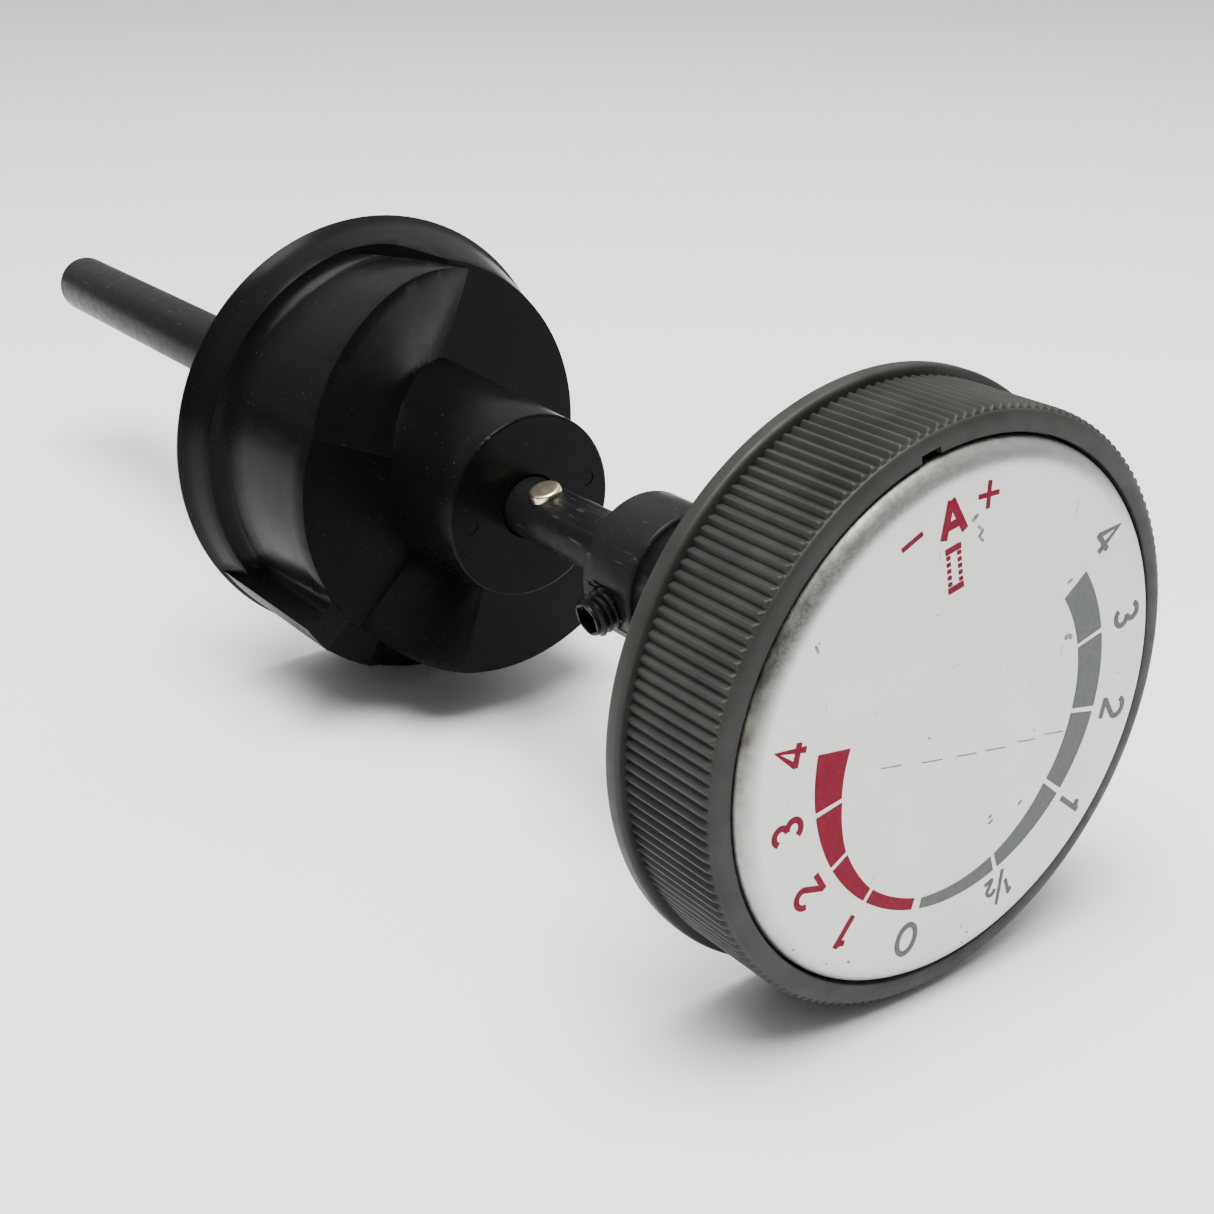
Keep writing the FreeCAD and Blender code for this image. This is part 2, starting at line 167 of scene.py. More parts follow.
# Marks on the plate, in its own plane: a broken scratch, strokes of soil with their widths, and specks
SCRATCH = [(-7.2, -3.05), (-2.8, -2.86), (1.07, -2.56), (4.3, -2.27), (7.9, -1.75), (11.1, -1.27)]
SCRATCH_WIDTH = 0.07
SOIL = [
    (0.26, [(-5.5, 15.6), (-5.1, 16.15)]),
    (0.22, [(-4.7, 15.25), (-4.1, 15.0), (-4.3, 14.55), (-3.75, 14.2)]),
    (0.18, [(7.5, 11.1), (7.9, 11.5)]),
    (0.38, [(9.1, 6.65), (9.5, 6.9), (9.9, 6.75)]),
    (0.16, [(9.2, -7.3), (9.5, -6.9)]),
    (0.16, [(6.1, -8.7), (6.5, -8.3)]),
    (0.13, [(5.9, -8.2), (6.2, -7.9)]),
    (0.14, [(-3.9, -1.0), (-3.7, -0.94)]),
    (0.2, [(-18.2, 6.45), (-17.75, 5.95)]),
]
SPECKS = [
    (-17.9, 6.6), (-3.6, 20.4), (-12.7, -17.1), (-8.7, -18.8),
    (-6.2, -19.0), (6.3, -17.6), (7.2, -18.2), (6.9, -19.1),
]
HAIRLINES = 26
HAIRLINE_REACH = 18.5

# Set screw
SCREW_R = 2.0
SCREW_PITCH = 0.7
THREAD_DEPTH = 0.4
THREAD_ROOT_R = SCREW_R - THREAD_DEPTH
THREAD_START = 0.2
THREAD_END_MARGIN = 0.1
THREAD_FADE = 0.5
THREAD_STEPS = 96
SCREW_COLUMNS = 48
SCREW_TIP = 3.1
SCREW_TIP_CHAMFER = 0.25
SCREW_END_CHAMFER = 0.05
SCREW_LENGTH = 5.9
SCREW_HEIGHT = 52.15
SOCKET_AF = 2.5
SOCKET_EDGE = 0.04
SOCKET_EDGE_DEPTH = 0.05
SOCKET_DEPTH = 2.2
SOCKET_CONE = 0.3

# Camera: its place, the direction it looks in, and its lens on a sensor of SENSOR_WIDTH
CAMERA_PLACE = (-91.72, -166.65, 61.57)
CAMERA_AIM = (0.54602, 0.73353, -0.40471)
LENS = 52.56
SENSOR_WIDTH = 36.0

# The camera's clipping, the floor and the overhead light, in metres and watts
CLIP_START = 0.005
CLIP_END = 60.0
FLOOR_HALF = 15.0
LIGHT_PLACE = (-0.1, -0.15, 0.7)
LIGHT_TARGET = (0, -0.04, 0)
LIGHT_SIZE = 0.5
LIGHT_POWER = 13.0


def on_dial(radius, degrees, height):
    """Point of the unit from a radius, an angle and a height, in metres."""
    angle = math.radians(degrees) + REST_TURN
    return Vector((radius * math.cos(angle), -height, radius * math.sin(angle))) * MM


# ---------------------------------------------------------------- shader helpers

# Sockets of a mix node that blends colours, by number because its sockets share their names
MIX_FACTOR, MIX_FIRST, MIX_SECOND, MIX_RESULT = 0, 6, 7, 2


def shader_of(material):
    """The material's principled shader."""
    return material.node_tree.nodes["Principled BSDF"]


def plain(name, colour, roughness, metallic=0.0, ior=1.5):
    """New principled material with its constants set."""
    material = bpy.data.materials.new(name)
    material.use_nodes = True
    shader = shader_of(material)
    shader.inputs["Base Color"].default_value = (*colour, 1)
    shader.inputs["Roughness"].default_value = roughness
    shader.inputs["Metallic"].default_value = metallic
    shader.inputs["IOR"].default_value = ior
    return material


def position(tree, stretch=(1, 1, 1)):
    """Place on the piece in millimetres, stretched along its axes."""
    source = tree.nodes.new("ShaderNodeTexCoord")
    scale = tree.nodes.new("ShaderNodeMapping")
    scale.inputs["Scale"].default_value = [s / MM for s in stretch]
    tree.links.new(source.outputs["Object"], scale.inputs["Vector"])
    return scale.outputs["Vector"]


def noise(tree, place, scale, detail=2.0, roughness=0.5):
    """Noise value. The scale is in cycles per millimetre."""
    node = tree.nodes.new("ShaderNodeTexNoise")
    node.inputs["Scale"].default_value = scale
    node.inputs["Detail"].default_value = detail
    node.inputs["Roughness"].default_value = roughness
    tree.links.new(place, node.inputs["Vector"])
    return node.outputs["Fac"]


def remap(tree, value, band, span):
    """Value mapped from a band to a span and held inside the span."""
    node = tree.nodes.new("ShaderNodeMapRange")
    node.inputs["From Min"].default_value, node.inputs["From Max"].default_value = band
    node.inputs["To Min"].default_value, node.inputs["To Max"].default_value = span
    tree.links.new(value, node.inputs["Value"])
    return node.outputs["Result"]


def mottle(tree, place, scale, detail, band, span=(0.0, 1.0)):
    """Uneven patches: noise of which one band of values is spread over a span."""
    return remap(tree, noise(tree, place, scale, detail), band, span)


def mixed(tree, factor, first, second):
    """Colour between two colours or sockets."""
    node = tree.nodes.new("ShaderNodeMix")
    node.data_type = "RGBA"
    for socket, value in ((node.inputs[MIX_FIRST], first), (node.inputs[MIX_SECOND], second)):
        if isinstance(value, tuple):
            socket.default_value = (*value, 1)
        else:
            tree.links.new(value, socket)
    tree.links.new(factor, node.inputs[MIX_FACTOR])
    return node.outputs[MIX_RESULT]


def bump(tree, value, distance, before=None):
    """Normal from a height value. The distance is in millimetres."""
    node = tree.nodes.new("ShaderNodeBump")
    node.inputs["Distance"].default_value = distance * MM
    node.inputs["Strength"].default_value = 1.0
    tree.links.new(value, node.inputs["Height"])
    if before is not None:
        tree.links.new(before, node.inputs["Normal"])
    return node.outputs["Normal"]


def multiply(tree, first, second):
    """Product of two values."""
    node = tree.nodes.new("ShaderNodeMath")
    node.operation = "MULTIPLY"
    tree.links.new(first, node.inputs[0])
    tree.links.new(second, node.inputs[1])
    return node.outputs["Value"]


def measure(tree, place, operation, direction=None):
    """Length of a place vector, or how far it reaches in a direction."""
    node = tree.nodes.new("ShaderNodeVectorMath")
    node.operation = operation
    tree.links.new(place, node.inputs[0])
    if direction is not None:
        node.inputs[1].default_value = direction
    return node.outputs["Value"]


def scratches(tree, stretch, scale, low, high):
    """Thin broken streaks, 1 on a streak. The streaks run along the axis with the small stretch."""
    place = position(tree, stretch)
    streak = remap(tree, noise(tree, place, scale, 3.0, 0.6), (low, high), (0.0, 1.0))
    patches = mottle(tree, position(tree), 0.35, 2.0, (0.45, 0.62))
    return multiply(tree, streak, patches)


def dress(material, colour, roughness=None, normal=None):
    """Links colour, roughness and normal sockets to the material's shader."""
    shader = shader_of(material)
    links = material.node_tree.links
    links.new(colour, shader.inputs["Base Color"])
    if roughness is not None:
        links.new(roughness, shader.inputs["Roughness"])
    if normal is not None:
        links.new(normal, shader.inputs["Normal"])
    return material


# ---------------------------------------------------------------- materials

def gloss_black_plastic():
    """Cam moulding: deep gloss black with a faint flow pattern, handling haze and dust."""
    black = (0.0035, 0.0035, 0.0038)
    material = plain("gloss_black_plastic", black, 0.25, ior=1.16)
    tree = material.node_tree
    place = position(tree)
    haze = mottle(tree, place, 0.16, 4.0, (0.35, 0.7), (0.2, 0.34))
    dust = mottle(tree, place, 3.0, 1.0, (0.745, 0.78), (0.0, 0.35))
    colour = mixed(tree, dust, black, (0.06, 0.06, 0.056))
    flow = bump(tree, noise(tree, position(tree, (1, 0.4, 1)), 0.22), 0.05)
    grain = bump(tree, noise(tree, place, 5.0), 0.0016, before=flow)
    return dress(material, colour, haze, grain)


def warm_grey_plastic():
    """Knob: warm dark grey, finely grained, slightly paler where fingers have rubbed it."""
    material = plain("warm_grey_plastic", (0.035, 0.033, 0.03), 0.5, ior=1.3)
    tree = material.node_tree
    place = position(tree)
    uneven_patches = mottle(tree, place, 0.22, 3.0, (0.35, 0.7))
    colour = mixed(tree, uneven_patches, (0.021, 0.0198, 0.0175), (0.033, 0.031, 0.028))
    roughness = mottle(tree, place, 0.7, 3.0, (0.3, 0.7), (0.42, 0.56))
    return dress(material, colour, roughness, bump(tree, noise(tree, place, 6.0), 0.012))


def hub_black_plastic():
    """Sleeve behind the knob: black with a soft sheen and light rub marks."""
    black = (0.004, 0.004, 0.0043)
    material = plain("hub_black_plastic", black, 0.3, ior=1.25)
    tree = material.node_tree
    place = position(tree)
    roughness = mottle(tree, place, 0.5, 4.0, (0.3, 0.7), (0.26, 0.42))
    rubs = scratches(tree, (1, 0.12, 1), 2.2, 0.66, 0.72)
    colour = mixed(tree, rubs, black, (0.03, 0.03, 0.03))
    return dress(material, colour, roughness, bump(tree, noise(tree, place, 4.0), 0.004))


def blackened_metal(name, colour, sheen, worn):
    """Blackened steel with patchy sheen and bare streaks where it has been rubbed."""
    material = plain(name, colour, 0.35, ior=1.19)
    tree = material.node_tree
    place = position(tree)
    roughness = mottle(tree, place, 0.8, 4.0, (0.3, 0.7), sheen)
    bare = scratches(tree, (1.0, 0.1, 1.0), 2.6, 0.62, 0.72)
    grain = bump(tree, noise(tree, place, 5.0), 0.005)
    return dress(material, mixed(tree, bare, colour, worn), roughness, grain)


def brass_pin():
    """Cross pin: bright brass with a darker, oily film in patches."""
    material = plain("brass_pin", (0.75, 0.6, 0.32), 0.18, metallic=1.0)
    tree = material.node_tree
    film = mottle(tree, position(tree), 1.2, 3.0, (0.5, 0.7), (0.0, 0.7))
    colour = mixed(tree, film, (0.95, 0.86, 0.62), (0.45, 0.34, 0.16))
    return dress(material, colour, remap(tree, film, (0.0, 1.0), (0.28, 0.42)))


def satin_aluminium():
    """Dial plate: fine satin grain, a little soil, and a painted dark brown reflection in the rolled edge at the
    upper left.
    """
    material = plain("satin_aluminium", (0.8, 0.8, 0.785), 0.4, metallic=1.0)
    tree = material.node_tree
    place = position(tree)
    grain = noise(tree, place, 4.5, 2.0, 0.6)
    soil = mottle(tree, place, 0.12, 3.0, (0.35, 0.7), (0.0, 0.5))
    clean = mixed(tree, remap(tree, grain, (0.3, 0.7), (0.0, 1.0)), (0.58, 0.58, 0.565), (0.66, 0.66, 0.645))
    soiled = mixed(tree, soil, clean, (0.55, 0.54, 0.515))
    flat = position(tree, (1, 0, 1))
    # Painted reflection: a dark brown band of colour on the rolled edge, strongest towards the upper left and
    # broken into uneven patches, stands in for the dim surroundings mirrored there
    edge = remap(tree, measure(tree, flat, "LENGTH"), (20.3, 21.6), (0.0, 1.0))
    side = remap(tree, measure(tree, flat, "DOT_PRODUCT", (-0.8, 0, 0.6)), (2.0, 19.0), (0.0, 1.0))
    uneven_patches = mottle(tree, place, 0.9, 3.0, (0.3, 0.7), (0.75, 1.0))
    painted_reflection = multiply(tree, multiply(tree, edge, side), uneven_patches)
    colour = mixed(tree, painted_reflection, soiled, (0.11, 0.105, 0.085))
    roughness = remap(tree, grain, (0.3, 0.7), (0.36, 0.48))
    return dress(material, colour, roughness, bump(tree, grain, 0.006))


def ink(name, colour, pale):
    """Screen-printed ink, slightly uneven in depth."""
    material = plain(name, colour, 0.6)
    shader_of(material).inputs["Specular IOR Level"].default_value = 0.12
    tree = material.node_tree
    place = position(tree)
    depth = mottle(tree, place, 3.5, 3.0, (0.35, 0.75), (0.0, 0.6))
    roughness = mottle(tree, place, 2.0, 2.0, (0.3, 0.7), (0.5, 0.68))
    grain = bump(tree, noise(tree, place, 6.0), 0.004)
    return dress(material, mixed(tree, depth, colour, pale), roughness, grain)


def soil_mark():
    """Dark residue in a scratch or a dent of the plate."""
    material = plain("soil_mark", (0.2, 0.17, 0.15), 0.6)
    tree = material.node_tree
    strength = mottle(tree, position(tree), 2.5, 2.0, (0.35, 0.65))
    return dress(material, mixed(tree, strength, (0.09, 0.078, 0.07), (0.33, 0.31, 0.29)))


MATERIALS = {
    "gloss_black_plastic": gloss_black_plastic(),
    "warm_grey_plastic": warm_grey_plastic(),
    "hub_black_plastic": hub_black_plastic(),
    "black_steel": blackened_metal(
        "black_steel", (0.007, 0.007, 0.0075), sheen=(0.24, 0.4), worn=(0.06, 0.058, 0.055)),
    "satin_black_metal": blackened_metal(
        "satin_black_metal", (0.009, 0.009, 0.0095), sheen=(0.26, 0.42), worn=(0.08, 0.076, 0.07)),
    "screw_steel": blackened_metal(
        "screw_steel", (0.006, 0.006, 0.0063), sheen=(0.2, 0.34), worn=(0.06, 0.058, 0.055)),
    "brass_pin": brass_pin(),
    "satin_aluminium": satin_aluminium(),
    "red_ink": ink("red_ink", (0.17, 0.001, 0.016), (0.20, 0.003, 0.024)),
    "grey_ink": ink("grey_ink", (0.10, 0.107, 0.107), (0.135, 0.143, 0.143)),
    "soil_mark": soil_mark(),
}


# ---------------------------------------------------------------- CAD nodes

def paint_nodes():
    """Gives every CAD node the material of its record slot."""
    for part in frame["record"]["subparts"]:
        for slot in nodes[part["node"]].material_slots:
            slot.material = MATERIALS[part["material_slot"]]


def soften_edges():
    """Small rounds on the sharp edges of the CAD nodes that are seen, as modifiers."""
    for name, width in EDGE_ROUNDS.items():
        weld = nodes[name].modifiers.new("weld", "WELD")
        weld.merge_threshold = WELD_GAP * MM
        bevel = nodes[name].modifiers.new("bevel", "BEVEL")
        bevel.width = width * MM
        bevel.segments = ROUND_SEGMENTS
        bevel.limit_method = "ANGLE"
        bevel.angle_limit = SHARP_ANGLE
        bevel.harden_normals = True


# ---------------------------------------------------------------- mesh helpers

def add_piece(name, points, faces, body, slot, material=None, smooth=True):
    """New mesh piece that rides on a body. Its finish is its slot's, unless a material is given."""
    mesh = bpy.data.meshes.new(name)
    mesh.from_pydata(points, [], faces)
    mesh.materials.append(material or MATERIALS[slot])
    tool = bmesh.new()
    tool.from_mesh(mesh)
    bmesh.ops.recalc_face_normals(tool, faces=tool.faces)
    tool.to_mesh(mesh)
    tool.free()
    for face in mesh.polygons:
        face.use_smooth = smooth
    piece = bpy.data.objects.new(name, mesh)
    bpy.context.scene.collection.objects.link(piece)
    if smooth:
        mesh.set_sharp_from_angle(angle=SHARP_ANGLE)
    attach(piece, body)
    return piece


def lathe(rows, columns):
    """Points and faces of rings one behind another. A row is a function of the column's turn, 0 to 1,
    that gives a point, or it is one point on the axis."""
    points = []
    starts = []
    for row in rows:
        starts.append(len(points))
        if callable(row):
            points += [row(k / columns) for k in range(columns)]
        else:
            points.append(row)
    faces = []
    for index in range(len(rows) - 1):
        first, second = starts[index], starts[index + 1]
        first_ring, second_ring = callable(rows[index]), callable(rows[index + 1])
        for k in range(columns):
            after = (k + 1) % columns
            if first_ring and second_ring:
                faces.append((first + k, first + after, second + after, second + k))
            elif first_ring:
                faces.append((first + k, first + after, second))
            else:
                faces.append((first, second + k, second + after))
    return points, faces


def turned(profile):
    """Rows for a lathe from pairs of radius and height on the dial."""
    return [lambda turn, r=radius, h=height: on_dial(r, turn * 360, h) for radius, height in profile]


def ellipse(centre, radii, start, end, steps):
    """Points along part of an ellipse, as pairs. Angles in degrees."""
    points = []
    for k in range(steps + 1):
        angle = math.radians(start + (end - start) * k / steps)
        points.append((centre[0] + radii[0] * math.cos(angle), centre[1] + radii[1] * math.sin(angle)))
    return points


def arc(centre, radius, start, end, steps):
    """Points along part of a circle, as pairs. Angles in degrees."""
    return ellipse(centre, (radius, radius), start, end, steps)


# ---------------------------------------------------------------- knob

def ridge_shape(turn):
    """Height of the knurl round the knob, 0 in a valley and 1 on a ridge."""
    across = abs((turn * RIDGE_COUNT + 0.5) % 1.0 - 0.5)
    return min(max((0.5 - across) / RIDGE_FLANK, 0.0), 1.0)


def in_notch(turn):
    """True where the small notch is cut in the recess wall."""
    half = math.degrees(NOTCH_WIDTH / 2 / RECESS_R)
    return abs(turn * 360 - NOTCH_ANGLE) < half


def knob_rows():
    """Rings of the knob from the hollow back, over the lip, the knurl and the front band, to the seat."""
    rows = [on_dial(0, 0, HOLLOW_FRONT)]

    def ring(radius, height, ridge_out=0.0, notched=False):
        def point(turn):
            out = ridge_shape(turn) * ridge_out
            if notched and in_notch(turn):
                out += NOTCH_DEPTH
            return on_dial(radius + out, turn * 360, height)
        rows.append(point)

    def corner(radius, height, size, start, steps, sweep=90, notched=False):
        for ring_r, ring_height in arc((radius, height), size, start, start + sweep, steps):
            ring(ring_r, ring_height, notched=notched)

    corner(HOLLOW_R - HOLLOW_ROUND, HOLLOW_FRONT - HOLLOW_ROUND, HOLLOW_ROUND, 90, 4, sweep=-90)
    corner(HOLLOW_R + HOLLOW_EDGE, KNOB_REAR + HOLLOW_EDGE, HOLLOW_EDGE, 180, 3)
    corner(LIP_R - LIP_EDGE, KNOB_REAR + LIP_EDGE, LIP_EDGE, 270, 5)
    corner(LIP_R - LIP_EDGE, LIP_FRONT - LIP_EDGE, LIP_EDGE, 0, 5)
    ring(LIP_FOOT_R, LIP_FRONT)
    # The rings between the two ends keep the shading of the rounded parts off the straight ridges
    for height in (LIP_FRONT, LIP_FRONT + 0.2, LIP_FRONT + 3.0, NOSE_START - 2.5, NOSE_START):
        ring(VALLEY_R, height, ridge_out=RIDGE_HEIGHT)
    for k in range(1, NOSE_STEPS + 1):
        share = k / NOSE_STEPS
        ring(VALLEY_R, NOSE_START + RIDGE_NOSE * share, ridge_out=RIDGE_HEIGHT * math.sqrt(1 - share * share))
    band_centre = (VALLEY_R - FRONT_BAND, RIDGE_END)
    for radius, height in ellipse(band_centre, (FRONT_BAND, KNOB_FRONT - RIDGE_END), 0, 90, 8)[1:]:
        ring(radius, height)
    corner(RECESS_R + RECESS_EDGE, KNOB_FRONT - RECESS_EDGE, RECESS_EDGE, 90, 3, notched=True)
    ring(RECESS_R, NOTCH_FLOOR, notched=True)
    ring(RECESS_R, NOTCH_FLOOR - NOTCH_STEP)
    ring(RECESS_R, RECESS_FLOOR)
    ring(SEAT_R, RECESS_FLOOR)
    ring(SEAT_R, SEAT_SLOPE_START)
    ring(SEAT_SLOPE_R, SEAT_TOP)
    rows.append(on_dial(0, 0, SEAT_TOP))
    return rows


def build_knob():
    """Finely knurled knob in place of the CAD node."""
    points, faces = lathe(knob_rows(), RIDGE_COUNT * RIDGE_COLUMNS)
    knob = add_piece("knob_body", points, faces, "dial", "warm_grey_plastic")
    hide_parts("dial_knob")


# ---------------------------------------------------------------- dial plate

def roll_angle(radius, height):
    """Angle at which a point of the plate's profile lies round the centre of the rolled edge."""
    return math.degrees(math.atan2(height - ROLL_CENTRE[1], radius - ROLL_CENTRE[0]))


def build_plate():
    """Pressed plate with a smoothly rolled edge in place of the CAD node."""
    inner_r = PLATE_R - PLATE_T
    roll_r = math.dist(ROLL_CENTRE, (PLATE_R, ROLL_START))
    start, end = roll_angle(PLATE_R, ROLL_START), roll_angle(ROLL_END_R, PLATE_FACE)
    disc = PLATE_FACE - DISC_SINK

    front = [(inner_r, PLATE_SKIRT + SKIRT_INNER_EDGE), (inner_r + SKIRT_INNER_EDGE, PLATE_SKIRT)]
    front += [(PLATE_R - SKIRT_OUTER_EDGE, PLATE_SKIRT), (PLATE_R, PLATE_SKIRT + SKIRT_OUTER_EDGE)]
    front += [(PLATE_R, ROLL_START - 0.3)] + arc(ROLL_CENTRE, roll_r, start, end, 18)
    front += [(ROLL_END_R - 0.4, disc), (12.0, disc), (5.0, disc)]
    points, faces = lathe(turned(front) + [on_dial(0, 0, disc)], PLATE_COLUMNS)

    back = [(inner_r, PLATE_SKIRT + SKIRT_INNER_EDGE), (inner_r, ROLL_START - 0.2)]
    back += arc(ROLL_CENTRE, roll_r - PLATE_T, start, end, 8)
    back_middle = on_dial(0, 0, PLATE_FACE - PLATE_T)
    back_points, back_faces = lathe(turned(back) + [back_middle], PLATE_COLUMNS)

    offset = len(points)
    points += back_points
    faces += [tuple(index + offset for index in face) for face in back_faces]
    plate = add_piece("plate_cap", points, faces, "dial", "satin_aluminium")
    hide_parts("dial_plate")


# ---------------------------------------------------------------- print on the plate

# Strokes of each sign in a box one unit high, from the lower left corner
SIGNS = {
    "0": [ellipse((0.33, 0.5), (0.33, 0.44), 0, 360, 40)],
    "1": [[(0.08, 0.76), (0.22, 0.80), (0.33, 0.93)], [(0.33, 1.0), (0.33, 0.0)]],
    "2": [ellipse((0.31, 0.68), (0.27, 0.26), 165, -25, 16) + [(0.04, 0.07)], [(0.0, 0.07), (0.62, 0.07)]],
    "3": [
        ellipse((0.29, 0.715), (0.23, 0.22), 150, -85, 14),
        ellipse((0.29, 0.285), (0.26, 0.23), 85, -155, 16),
    ],
    "4": [[(0.47, 0.0), (0.47, 0.97), (0.05, 0.27)], [(0.0, 0.27), (0.68, 0.27)]],
    "A": [[(0.05, 0.0), (0.40, 0.98)], [(0.42, 0.98), (0.80, 0.0)], [(0.16, 0.30), (0.68, 0.30)]],
    "-": [[(0.0, 0.5), (0.76, 0.5)]],
    "+": [[(0.0, 0.5), (0.76, 0.5)], [(0.38, 0.12), (0.38, 0.88)]],
    "/": [[(0.0, -0.15), (0.62, 1.15)]],
}
SIGN_WIDTH = {
    "0": 0.66, "1": 0.4, "2": 0.62, "3": 0.56, "4": 0.68, "A": 0.84, "-": 0.76, "+": 0.76, "/": 0.62,
}


def ribbon(line, width):
    """Quads along a line of points in a plane, with mitred joints. Sharp corners get a shortened mitre."""
    points = []
    count = len(line)
    closed = math.dist(line[0], line[-1]) < 1e-6
    for index in range(count):
        before = line[index - 1] if index > 0 else (line[-2] if closed else None)
        after = line[index + 1] if index < count - 1 else (line[1] if closed else None)
        here = Vector(line[index])
        directions = []
        if before is not None:
            directions.append((here - Vector(before)).normalized())
        if after is not None:
            directions.append((Vector(after) - here).normalized())
        along = sum(directions, Vector((0, 0))).normalized()
        bend = max(MITRE_LIMIT, along.dot(directions[0]))
        side = Vector((-along.y, along.x)) * (width / 2 / bend)
        points += [here + side, here - side]
    faces = [(2 * k, 2 * k + 1, 2 * k + 3, 2 * k + 2) for k in range(count - 1)]
    return points, faces


def outwards_and_right(degrees):
    """Unit vectors on the face, outwards at an angle and to the right of that."""
    angle = math.radians(degrees)
    up = Vector((math.cos(angle), math.sin(angle)))
    return up, Vector((up.y, -up.x))


class Print:
    """Flat marks on the plate's face, gathered into one mesh."""

    def __init__(self):
        self.points = []
        self.faces = []

    def add(self, line, width):
        """Adds a stroke along a line of points in the plane of the face."""
        flat, faces = ribbon(line, width)
        start = len(self.points)
        level = PLATE_FACE + (INK_TOP + LAYER_STEP * (start % LAYERS))
        for point in flat:
            radius = math.hypot(point.x, point.y)
            degrees = math.degrees(math.atan2(point.y, point.x))
            self.points.append(on_dial(radius, degrees, level))
        self.faces += [tuple(index + start for index in face) for face in faces]

    def sign(self, text, radius, degrees, height, width, shift=(0.0, 0.0)):
        """Adds a sign whose top points outwards, centred at a radius and angle."""
        up, right = outwards_and_right(degrees)
        size = height - width * 0.5
        for line in SIGNS[text]:
            placed = []
            for across, rise in line:
                placed.append(
                    up * radius
                    + right * ((across - SIGN_WIDTH[text] / 2) * size + shift[0])
                    + up * ((rise - 0.5) * size + shift[1]))
            self.add(placed, width)

    def piece(self, name, slot, material=None):
        """Makes the mesh piece."""
        return add_piece(name, self.points, self.faces, "dial", slot, material, smooth=False)


def add_ladder(red):
    """Two end bars and two dashed rails, along a radius below the letter."""
    up, right = outwards_and_right(LADDER_ANGLE)

    def bar(middle, half, level, width):
        red.add([right * (middle - half) + up * level, right * (middle + half) + up * level], width)

    for level in (LADDER_TOP - LADDER_BAR / 2, LADDER_BOTTOM + LADDER_BAR / 2):
        bar(0.0, LADDER_HALF, level, LADDER_BAR)
    pitch = (LADDER_TOP - LADDER_BOTTOM - 2 * LADDER_BAR) / RAIL_DASHES
    for side in (-RAIL_HALF_GAP, RAIL_HALF_GAP):
        for k in range(RAIL_DASHES):
            level = LADDER_BOTTOM + LADDER_BAR + pitch * (k + 0.5)
            bar(side, RAIL_HALF, level, pitch * RAIL_FILL)


def build_print():
    """Red and grey figures, the marks by the letter and the stitch-like ladder."""
    red = Print()
    for text, radius, degrees in RED_FIGURES:
        red.sign(text, radius, degrees, DIGIT_HEIGHT, RED_STROKE)
    for text, radius, degrees, height, width in RED_SIGNS:
        red.sign(text, radius, degrees, height, width)
    add_ladder(red)
    red.piece("print_red", "red_ink")
    grey = Print()
    for text, radius, degrees in GREY_FIGURES:
        grey.sign(text, radius, degrees, DIGIT_HEIGHT, GREY_STROKE)
    grey.sign("1", HALF_R, HALF_ANGLE, HALF_DIGIT, FINE_STROKE, shift=HALF_UPPER)
    grey.sign("/", HALF_R, HALF_ANGLE, HALF_SLASH, FINE_STROKE)
    grey.sign("2", HALF_R, HALF_ANGLE, HALF_DIGIT, FINE_STROKE, shift=HALF_LOWER)
    grey.piece("print_grey", "grey_ink")


def build_marks():
    """Scratches, dents and specks of soil on the plate."""
    rng = random.Random(5)
    marks = Print()
    for x, y in SCRATCH:
        half = 0.9 + 0.3 * rng.random()
        marks.add([(x - half, y - 0.06), (x, y), (x + half, y + 0.1)], SCRATCH_WIDTH)
    for width, line in SOIL:
        marks.add(line, width)
    for x, y in SPECKS:
        size = 0.12 + 0.1 * rng.random()
        marks.add([(x - size / 2, y), (x + size / 2, y + 0.03)], size)
    for _ in range(HAIRLINES):
        radius = HAIRLINE_REACH * math.sqrt(rng.random())
        angle = rng.uniform(0, math.tau)
        x, y = radius * math.cos(angle), radius * math.sin(angle)
        lean = rng.uniform(0, math.tau)
        half = rng.uniform(0.1, 0.5)
        dx, dy = half * math.cos(lean), half * math.sin(lean)
        marks.add([(x - dx, y - dy), (x + dx, y + dy)], rng.uniform(0.02, 0.04))
    marks.piece("plate_marks", "satin_aluminium", MATERIALS["soil_mark"])


# ---------------------------------------------------------------- set screw

def thread_radius(turn, height):
    """Radius of the helical thread, fading out at both ends."""
    to_start = (height - THREAD_START) / THREAD_FADE
    to_end = (SCREW_LENGTH - THREAD_END_MARGIN - height) / THREAD_FADE
    fade = max(0.0, min(1.0, to_start, to_end))
    phase = (height / SCREW_PITCH - turn) % 1.0
    crest = min(1.0, max(0.0, 1.25 - 2.9 * abs(phase - 0.5)))
    return THREAD_ROOT_R + THREAD_DEPTH * fade * crest


def hexagon_radius(turn):
    """Radius of the hexagon socket's wall."""
    lean = (turn * 360 + 30) % 60 - 30
    return SOCKET_AF / 2 / math.cos(math.radians(lean))


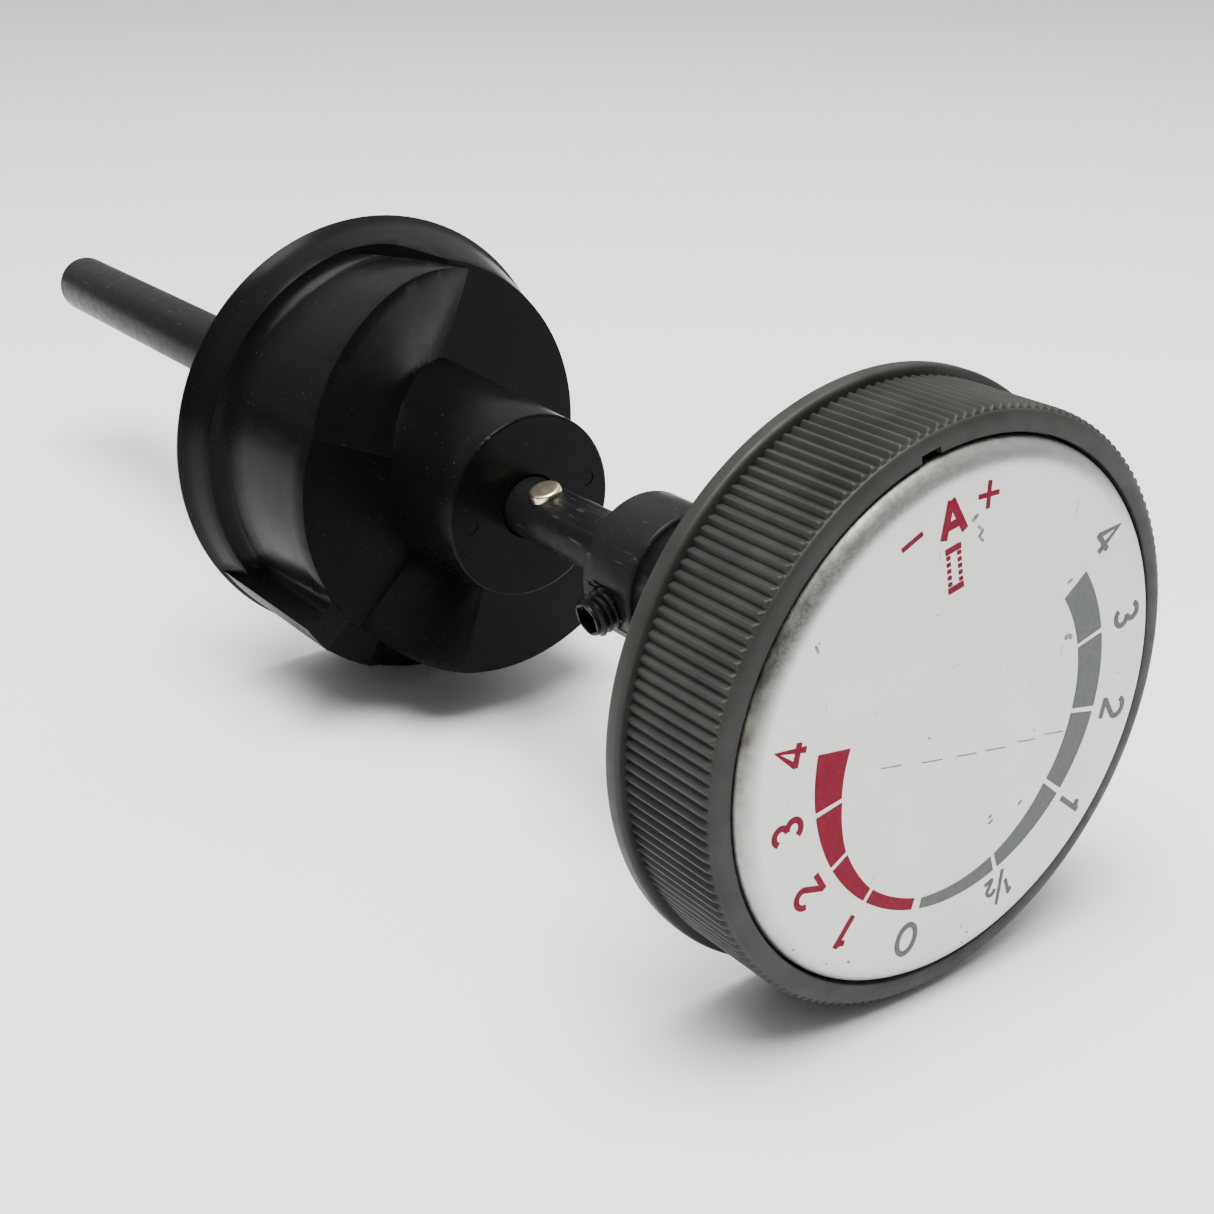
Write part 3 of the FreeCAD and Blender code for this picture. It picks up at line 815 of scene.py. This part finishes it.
def screw_rows():
    """Rings of the set screw in its own frame: tip, helical thread, end face and hexagon socket."""
    rows = [Vector((0, 0, 0))]

    def ring(radius_at, height):
        def point(turn):
            angle = turn * math.tau
            radius = radius_at(turn)
            return Vector((radius * math.cos(angle), radius * math.sin(angle), height))
        rows.append(point)

    ring(lambda turn: THREAD_ROOT_R - SCREW_TIP_CHAMFER, 0.0)
    thread_length = SCREW_LENGTH - THREAD_START - THREAD_END_MARGIN
    for k in range(THREAD_STEPS + 1):
        height = THREAD_START + thread_length * k / THREAD_STEPS
        ring(lambda turn, height=height: thread_radius(turn, height), height)
    ring(lambda turn: THREAD_ROOT_R - SCREW_END_CHAMFER, SCREW_LENGTH)
    ring(lambda turn: hexagon_radius(turn) + SOCKET_EDGE, SCREW_LENGTH)
    ring(hexagon_radius, SCREW_LENGTH - SOCKET_EDGE_DEPTH)
    ring(hexagon_radius, SCREW_LENGTH - SOCKET_DEPTH)
    rows.append(Vector((0, 0, SCREW_LENGTH - SOCKET_DEPTH - SOCKET_CONE)))
    return rows


def build_screw():
    """Set screw with a real helical thread in place of the CAD node."""
    travel = [joint for joint in frame["joints"] if joint["name"] == "screw_travel"][0]
    direction = Vector(travel["axis"]).normalized()
    points, faces = lathe(screw_rows(), SCREW_COLUMNS)
    turn = direction.to_track_quat("Z", "Y").to_matrix().to_4x4()
    start = direction * SCREW_TIP + Vector((0, -SCREW_HEIGHT, 0))
    place = Matrix.Translation(start * MM) @ turn @ Matrix.Scale(MM, 4)
    screw = add_piece("grub_screw", [place @ point for point in points], faces, "screw", "screw_steel")
    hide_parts("set_screw")


# ---------------------------------------------------------------- camera, floor, light

def add_camera():
    """Three-quarter view from the left of the dial, slightly above."""
    data = bpy.data.cameras.new("camera")
    data.lens = LENS
    data.sensor_width = SENSOR_WIDTH
    data.clip_start = CLIP_START
    data.clip_end = CLIP_END
    camera = bpy.data.objects.new("camera", data)
    camera.location = Vector(CAMERA_PLACE) * MM
    camera.rotation_mode = "QUATERNION"
    camera.rotation_quaternion = Vector(CAMERA_AIM).to_track_quat("-Z", "Y")
    bpy.context.scene.collection.objects.link(camera)
    bpy.context.scene.camera = camera


def add_floor():
    """Pale plane that the unit lies on."""
    low = cad_box[0].z
    half = FLOOR_HALF
    corners = [(-half, -half, low), (half, -half, low), (half, half, low), (-half, half, low)]
    mesh = bpy.data.meshes.new("floor")
    mesh.from_pydata(corners, [], [(0, 1, 2, 3)])
    floor = bpy.data.objects.new("floor", mesh)
    bpy.context.scene.collection.objects.link(floor)
    mesh.materials.append(plain("floor", (0.92, 0.92, 0.92), 0.9))


def add_top_light():
    """Square soft light overhead that points at the middle of the unit."""
    data = bpy.data.lights.new("top", "AREA")
    data.size = LIGHT_SIZE
    data.energy = LIGHT_POWER
    light = bpy.data.objects.new("top", data)
    light.location = LIGHT_PLACE
    light.rotation_mode = "QUATERNION"
    light.rotation_quaternion = (Vector(LIGHT_TARGET) - Vector(LIGHT_PLACE)).to_track_quat("-Z", "Y")
    bpy.context.scene.collection.objects.link(light)


def add_world():
    """Surroundings of a light tent: white overhead, dim at the horizon and on the side of the viewer."""
    horizon, low_wall, overhead = (0.22, 0.217, 0.21, 1), (0.42, 0.415, 0.405, 1), (1.0, 1.0, 1.0, 1)
    towards_viewer = (-0.7, -0.7, 0.1)
    world = bpy.data.worlds.new("world")
    world.use_nodes = True
    tree = world.node_tree
    source = tree.nodes.new("ShaderNodeTexCoord")
    split = tree.nodes.new("ShaderNodeSeparateXYZ")
    tree.links.new(source.outputs["Generated"], split.inputs["Vector"])
    ramp = tree.nodes.new("ShaderNodeValToRGB")
    stops = ramp.color_ramp.elements
    stops[0].position = 0.0
    stops[0].color = horizon
    stops[1].position = 0.8
    stops[1].color = overhead
    stops.new(0.35).color = low_wall
    tree.links.new(split.outputs["Z"], ramp.inputs["Fac"])
    towards = measure(tree, source.outputs["Generated"], "DOT_PRODUCT", towards_viewer)
    background = tree.nodes["Background"]
    tree.links.new(ramp.outputs["Color"], background.inputs["Color"])
    tree.links.new(remap(tree, towards, (-0.4, 0.9), (1.5, 0.25)), background.inputs["Strength"])
    bpy.context.scene.world = world


paint_nodes()
soften_edges()
build_knob()
build_plate()
build_print()
build_marks()
build_screw()
add_camera()
add_floor()
add_world()
add_top_light()
